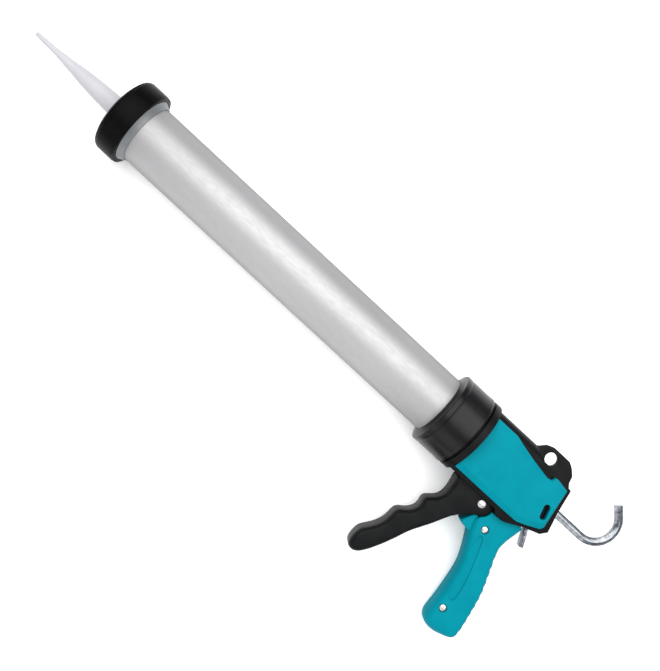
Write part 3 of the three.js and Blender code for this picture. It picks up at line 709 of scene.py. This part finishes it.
def makeTrigger():
    px, py = trigger["pivot"]
    radius = trigger["boss"]
    angles = range(trigger["bossFrom"], trigger["bossTo"] + 1, trigger["bossStep"])
    boss = [
        (px + radius * math.cos(math.radians(a)), py + radius * math.sin(math.radians(a)))
        for a in angles
    ]
    points = [
        (trigger["shelfFront"], trigger["shelf"]),
        *trigger["front"], *trigger["bottom"], *trigger["rear"], *boss,
        (trigger["armRear"], trigger["armTop"]), (trigger["armFront"], trigger["armTop"]),
        (trigger["armFront"], trigger["shelf"]),
    ]
    # curves from the second point of the front to the last of the rear
    smooth = range(2, 1 + sum(len(trigger[part]) for part in ("front", "bottom", "rear")))
    bm = drawn(points, 0, trigger["shoulder"], smooth, spacing=trigger["spacing"])
    shouldered(bm, trigger, triggerShare)
    twoSided(bm)
    bm = carved(
        bm,
        drawn(trigger["channel"], -trigger["cheekInner"], trigger["cheekInner"]),
        roundBar(trigger["pivot"], -gun["beyond"], gun["beyond"], trigger["hole"]))
    newPiece("triggerLever", bm, "trigger", "black_plastic", ["trigger"], angle=30)


makeTrigger()
print("trigger made")


grip = {
    "half": 12.9, "seam": 0.2, "wall": 4.2,
    "front": [
        (48, -40), (50, -46.5), (53.6, -58.6), (57.4, -64.4), (62, -72.3), (66.5, -81),
        (70, -90.6), (71.8, -101), (73.5, -112.4), (75, -124.6), (75.4, -135), (77.2, -140.3),
        (82, -144),
    ],
    "bottom": [(90.5, -144.5), (98, -142.6), (105.6, -139.9), (109.4, -137)],
    "rear": [
        (109.9, -130), (108.4, -121), (105.6, -108), (102.4, -93.5), (96, -78), (89.4, -63),
        (86.4, -56.3), (86, -50), (87.6, -40), (92, -20),
    ],
    "top": [(58, -20)],
    "spacing": 1.7,
    "shoulder": 3.2, "shoulderIn": 6.6, "shoulderSteps": 7, "shoulderSmooth": 3,
    "topCut": [
        (30, -36.2), (59.4, -36.2), (69.6, -35.6), (84.2, -28.4), (88.2, -29.6), (89.1, -32.4),
        (120, -33), (120, 0), (30, 0),
    ],
    # the nose reaches in between the trigger's cheeks
    "nose": [(44.4, -58.3), (48.5, -60.2), (56, -61), (60, -50), (54, -44), (50, -46.5)],
    "noseHalf": 8.8, "noseEdge": 1.5, "noseEdgeAngle": 60,
    "noseHair": 0.1, "hair": 0.01,  # play in finding the nose's upper edges and the stripe's floor
    "ribPitch": 7.2, "ribDepth": 1.2, "ribReach": 6, "ribsFrom": -62, "ribsTo": -134,
    "stripe": [
        (61.8, -58.6), (66.9, -72.9), (72.9, -89.7), (76.8, -108), (80, -114.5), (84.6, -114),
        (85.6, -108), (81.4, -89.8), (74.6, -72.9), (69.5, -58.7), (65.5, -55.6),
    ],
    "stripeDepth": 0.8,
    "screws": [(64.2, -51), (82.9, -123.1)], "screwRoom": 3.6, "screwDepth": 2.2,
    "screwBore": 2.4, "boreSteps": 20,
    # room for the trigger and its boss as they turn
    "sweep": [
        (47, -36.4), (54.6, -44.9), (50.2, -56.2), (48.6, -64.6), (48.2, -78.8), (-13, -96.4),
        (-13, -36.4),
    ],
    "bossRoom": 0.6, "bossSteps": 64,
    # room for the frame's tang and for its pivot lug
    "tangRoom": [
        (56, -28), (86, -28), (84.5, -66), (94.5, -92), (100.5, -134.4), (83.6, -138.4),
        (71.6, -86), (55.6, -46),
    ],
    "lugRoom": [(47, -45), (59.6, -48.2), (64, -42.4), (64, -24.4), (47, -24.4)],
    "lugHalf": 9.2, "lugRadius": 11.4, "lugSteps": 48,
}


def rearDistance(place):
    # how far a point lies inside the back of the grip, and the way in
    best, inward = math.inf, None
    rear = [Vector((x, y, 0)) for x, y in grip["rear"]]
    for start, end in zip(rear, rear[1:]):
        along = end - start
        share = min(max((place - start).dot(along) / along.length_squared, 0), 1)
        off = place - (start + along * share)
        if off.length < best:
            best, inward = off.length, Vector((-along.y, along.x, 0)).normalized()
    return best, inward


def addPalmRibs(bm):
    # shallow waves up the back of the grip, dying out towards its sides
    for v in bm.verts:
        if not grip["ribsTo"] < v.co.y < grip["ribsFrom"]:
            continue
        distance, inward = rearDistance(Vector((v.co.x, v.co.y, 0)))
        if distance > grip["ribReach"]:
            continue
        wave = 0.5 - 0.5 * math.cos(2 * math.pi * (v.co.y - grip["ribsFrom"]) / grip["ribPitch"])
        fade = max(0, 1 - distance / grip["ribReach"]) * max(0, 1 - v.co.z / grip["half"]) ** 0.5
        v.co += inward * (grip["ribDepth"] * wave * fade)


def makeGrips():
    points = [*grip["front"], *grip["bottom"], *grip["rear"], *grip["top"]]
    smooth = range(1, len(points) - 2)
    bm = drawn(points, grip["seam"], grip["shoulder"], smooth, spacing=grip["spacing"])
    shouldered(bm, grip)
    addPalmRibs(bm)
    noseHalf, pivot, below, beyond = grip["noseHalf"], trigger["pivot"], -gun["past"], gun["beyond"]
    nose = drawn(grip["nose"], grip["seam"], noseHalf)
    bevelEdges(
        nose, grip["noseEdge"], 3, grip["noseEdgeAngle"],
        lambda edge: min(v.co.z for v in edge.verts) > noseHalf - grip["noseHair"])
    bm = joined(bm, nose)
    under = grip["half"] - grip["screwDepth"]
    rooms = [roundBar(place, under, beyond, grip["screwRoom"]) for place in grip["screws"]]
    bores = [
        roundBar(place, below, beyond, grip["screwBore"], grip["boreSteps"])
        for place in grip["screws"]
    ]
    floor = grip["half"] - grip["stripeDepth"]
    stripe = drawn(grip["stripe"], floor, beyond, range(len(grip["stripe"])))
    bm = carved(
        bm,
        drawn(grip["topCut"], below, beyond),
        drawn(grip["sweep"], noseHalf, beyond),
        roundBar(pivot, noseHalf, beyond, trigger["boss"] + grip["bossRoom"], grip["bossSteps"]),
        drawn(grip["tangRoom"], below, grip["wall"]),
        drawn(grip["lugRoom"], below, grip["lugHalf"]),
        roundBar(pivot, below, grip["lugHalf"], grip["lugRadius"], grip["lugSteps"]),
        stripe, *rooms, *bores)
    # the stripe's floor gets a slightly darker teal: painted shade in the recess
    for face in bm.faces:
        if all(abs(v.co.z - floor) < grip["hair"] for v in face.verts):
            face.material_index = 1
    other = mirrored(bm)
    finish = [materials["teal_plastic"], stripeShadeFinish]
    newPiece("gripLeft", bm, "frame", "teal_plastic", ["grip_left"], finish, angle=40)
    newPiece("gripRight", other, "frame", "teal_plastic", ["grip_right"], finish, angle=40)


makeGrips()
print("grips made")


rod = {
    "front": -360, "hexFront": -336, "flats": 7, "edge": 0.45,
    "thread": 2.8, "threadRoot": 2.35, "pitch": 1, "threadSteps": 32,
    "bendAt": 132.5, "bendRadius": 20, "bend": 135, "bendSteps": 36, "tail": 10.5,
}


def threadedEnd():
    # the thin front end that the piston and its nut sit on
    root, inside = rod["threadRoot"], rod["hexFront"] + gun["past"]
    section = [(rod["front"], 0)]
    x = rod["front"]
    while x < rod["hexFront"] - rod["pitch"]:
        section += [(x, root), (x + rod["pitch"] / 2, rod["thread"])]
        x += rod["pitch"]
    section += [(x, root), (inside, root), (inside, 0)]
    return lathed(section, rod["threadSteps"])


def makePushRod():
    bm = bmesh.new()
    turn = Matrix.Translation((rod["hexFront"], 0, 0)) @ Matrix.Rotation(math.pi / 2, 4, "Y")
    bmesh.ops.create_circle(
        bm, cap_ends=True, segments=6, radius=rod["flats"] / math.sqrt(3), matrix=turn)
    # turned so that two corners face across the gun
    bmesh.ops.rotate(
        bm, cent=(0, 0, 0), matrix=Matrix.Rotation(math.pi / 6, 3, "X"), verts=bm.verts)
    bmesh.ops.bevel(
        bm, geom=list(bm.verts), offset=rod["edge"], offset_type="OFFSET", segments=2, profile=0.5,
        affect="VERTICES", clamp_overlap=True, material=-1)

    def extruded(face, move):
        made = bmesh.ops.extrude_face_region(bm, geom=[face])["geom"]
        verts = [item for item in made if isinstance(item, bmesh.types.BMVert)]
        bmesh.ops.translate(bm, vec=move, verts=verts)
        return next(item for item in made if isinstance(item, bmesh.types.BMFace))

    bend = math.radians(rod["bend"])
    end = extruded(list(bm.faces)[0], (rod["bendAt"] - rod["hexFront"], 0, 0))
    spun = bmesh.ops.spin(
        bm, geom=[end, *end.edges, *end.verts], cent=(rod["bendAt"], rod["bendRadius"], 0),
        axis=(0, 0, 1), dvec=(0, 0, 0), angle=bend, steps=rod["bendSteps"],
        use_merge=False, use_duplicate=False)
    tip = next(item for item in spun["geom_last"] if isinstance(item, bmesh.types.BMFace))
    extruded(tip, (rod["tail"] * math.cos(bend), rod["tail"] * math.sin(bend), 0))
    bmesh.ops.delete(bm, geom=[tip], context="FACES_ONLY")
    bmesh.ops.remove_doubles(bm, verts=bm.verts, dist=gun["sameRing"])
    bmesh.ops.recalc_face_normals(bm, faces=bm.faces)
    bm = joined(bm, threadedEnd())
    newPiece("pushRod", bm, "rod", "zinc_steel", ["push_rod", "rod_hook"], angle=25)


makePushRod()
print("push rod made")


screws = {
    "pivot": {
        "node": "pivot_screw", "at": trigger["pivot"], "top": 14.7, "head": 3.9, "shank": 2.6,
        "end": -15.6,
    },
    "upperGrip": {
        "node": "upper_grip_screw", "at": grip["screws"][0], "top": 12.9, "head": 3.3, "shank": 2,
        "end": -12.4,
    },
    "lowerGrip": {
        "node": "lower_grip_screw", "at": grip["screws"][1], "top": 12.9, "head": 3.3, "shank": 2,
        "end": -12.4,
    },
}
screwValues = {
    "headHeight": 1.8, "rim": 0.5, "headSteps": 48, "shankSteps": 32,
    "dome": [(0.55, 0.82), (0.12, 0.45)],  # depth under the top, share of the head's radius
    "domeEdge": 0.35, "rimEdge": 0.2,
    "crossWidth": 0.8, "crossReach": 0.58, "crossDepth": 1.1,
}


def makeScrew(name, values):
    head, shank, top = values["head"], values["shank"], values["top"]
    under = top - screwValues["headHeight"]
    rim = under + screwValues["rim"]
    dome = [(top - depth, head * share) for depth, share in screwValues["dome"]]
    section = [(under, 0), (under, head), (rim, head), *dome, (top, 0)]
    roundings = [(screwValues["domeEdge"], 3, (2, 3)), (screwValues["rimEdge"], 2, (1,))]
    bm = lathed(section, screwValues["headSteps"], roundings)
    # turned so that its axis runs across the gun
    bmesh.ops.rotate(
        bm, cent=(0, 0, 0), matrix=Matrix.Rotation(-math.pi / 2, 3, "Y"), verts=bm.verts)
    x, y = values["at"]
    bmesh.ops.translate(bm, vec=(x, y, 0), verts=bm.verts)
    bm = joined(bm, roundBar((x, y), values["end"], rim, shank, screwValues["shankSteps"]))
    reach, half = head * screwValues["crossReach"], screwValues["crossWidth"] / 2
    bottom, over = top - screwValues["crossDepth"], top + gun["past"]
    bm = carved(
        bm,
        blockOf((x - reach, y - half, bottom), (x + reach, y + half, over)),
        blockOf((x - half, y - reach, bottom), (x + half, y + reach, over)))
    newPiece(f"{name}Screw", bm, "frame", "zinc_steel", [values["node"]], [screwFinish])


springs = {
    "driveSpringCoil": {
        "node": "drive_spring", "front": 6.6, "rear": 34.6, "radius": 6.64, "wire": 1.6,
        "turns": 6, "joint": "drive_plate_slide", "keep": 0.555,
    },
    "releaseSpringCoil": {
        "node": "release_spring", "front": 67.4, "rear": 81.4, "radius": 6.04, "wire": 1.3,
        "turns": 5, "joint": "release_press", "keep": 0.95,
    },
}
coilSteps = {"around": 10, "perTurn": 28}


def makeSpring(name, values):
    # a closed coil of round wire about the push rod
    bm = bmesh.new()
    wire = values["wire"] / 2
    front, rear = values["front"] + wire, values["rear"] - wire
    bmesh.ops.create_circle(
        bm, cap_ends=True, segments=coilSteps["around"], radius=wire,
        matrix=Matrix.Translation((front, values["radius"], 0)))
    start = list(bm.faces)
    steps = values["turns"] * coilSteps["perTurn"]
    bmesh.ops.spin(
        bm, geom=[*start, *bm.edges, *bm.verts], cent=(0, 0, 0), axis=(1, 0, 0),
        dvec=((rear - front) / steps, 0, 0), angle=2 * math.pi * values["turns"], steps=steps,
        use_merge=False, use_duplicate=False)
    piece = newPiece(name, bm, "frame", "zinc_steel", [values["node"]], angle=60)
    low, high = gunBox(values["node"])
    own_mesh(piece)


for name, values in springs.items():
    makeSpring(name, values)
for name, values in screws.items():
    makeScrew(name, values)

for name, node, width in (
        ("frameLeft", "frame_left", 0.6), ("frameRight", "frame_right", 0.6),
        ("releasePlate", "release_plate", 0.4), ("drivePlate", "drive_plate", 0.5),
        ("pivotNut", "pivot_nut", 0.3), ("upperGripNut", "upper_grip_nut", 0.25),
        ("lowerGripNut", "lower_grip_nut", 0.25)):
    softened(name, node, width)
print("screws, nuts and plates made")


stageValues = {
    "floorSize": 8,
    "floorCells": 8,
    "floor": colourOf(240, 240, 240),
    "floorRoughness": 0.9,
    "floorSpecular": 0.1,
    "floorGlow": 0.22,
    "world": colourOf(230, 236, 246),
    "worldStrength": 0.48,
    "keyPlace": (-180, 540, 1380),
    "keyAim": (-180, 0, 0),
    "keySize": (3, 1.85),
    "keyPower": 58,
    "keyColour": (1, 0.985, 0.955),
    "fillPlace": (-100, -1250, 900),
    "fillSize": (2.6, 0.9),
    "fillPower": 11,
}
cameraValues = {
    "lens": 45,
    "clipStart": 0.01,
    "place": (-175.6, -19.1, 706.1),
    "yaw": math.radians(2.732),
    "roll": math.radians(42.69),
}


def addFloor():
    bm = bmesh.new()
    cells = stageValues["floorCells"]
    bmesh.ops.create_grid(
        bm, x_segments=cells, y_segments=cells, size=stageValues["floorSize"] / 2)
    mesh = bpy.data.meshes.new("floor")
    bm.to_mesh(mesh)
    bm.free()
    floor = bpy.data.objects.new("floor", mesh)
    bpy.context.collection.objects.link(floor)
    material, nodes, links, shader = newMaterial("pale floor")
    shader.inputs["Base Color"].default_value = stageValues["floor"]
    shader.inputs["Roughness"].default_value = stageValues["floorRoughness"]
    shader.inputs["Specular IOR Level"].default_value = stageValues["floorSpecular"]
    shader.inputs["Emission Color"].default_value = (1, 1, 1, 1)
    shader.inputs["Emission Strength"].default_value = stageValues["floorGlow"]
    mesh.materials.append(material)


def addWorld():
    world = bpy.data.worlds.new("studio")
    world.use_nodes = True
    background = world.node_tree.nodes["Background"]
    background.inputs["Color"].default_value = stageValues["world"]
    background.inputs["Strength"].default_value = stageValues["worldStrength"]
    bpy.context.scene.world = world
    bpy.context.scene.view_settings.view_transform = "Standard"


def addSoftbox(name, place, aim, size, power):
    # a broad light whose long side lies along the gun
    data = bpy.data.lights.new(name, "AREA")
    data.shape = "RECTANGLE"
    data.size, data.size_y = size
    data.energy = power
    data.color = stageValues["keyColour"]
    light = bpy.data.objects.new(name, data)
    bpy.context.collection.objects.link(light)
    at = gunToRow @ Vector(place)
    back = (at - gunToRow @ Vector(aim)).normalized()
    along = gunTurn.to_3x3() @ Vector((1, 0, 0))
    along = (along - back * along.dot(back)).normalized()
    turn = Matrix((along, back.cross(along), back)).transposed().to_4x4()
    light.matrix_world = Matrix.Translation(at) @ turn


def addCamera():
    data = bpy.data.cameras.new("camera")
    data.lens = cameraValues["lens"]
    data.clip_start = cameraValues["clipStart"]
    camera = bpy.data.objects.new("camera", data)
    bpy.context.collection.objects.link(camera)
    yaw, roll = cameraValues["yaw"], cameraValues["roll"]
    level = Vector((math.cos(yaw), 0, math.sin(yaw)))
    rise = Vector((0, 1, 0))
    back = Vector((-math.sin(yaw), 0, math.cos(yaw)))
    right = level * math.cos(roll) + rise * math.sin(roll)
    up = rise * math.cos(roll) - level * math.sin(roll)
    turn = Matrix((right, up, back)).transposed().to_4x4()
    at = Matrix.Translation(gunToRow @ Vector(cameraValues["place"]))
    camera.matrix_world = at @ gunTurn @ turn
    bpy.context.scene.camera = camera


addFloor()
addWorld()
for name in ("key", "fill"):
    addSoftbox(
        name, stageValues[name + "Place"], stageValues["keyAim"], stageValues[name + "Size"],
        stageValues[name + "Power"])
addCamera()
print("stage set")
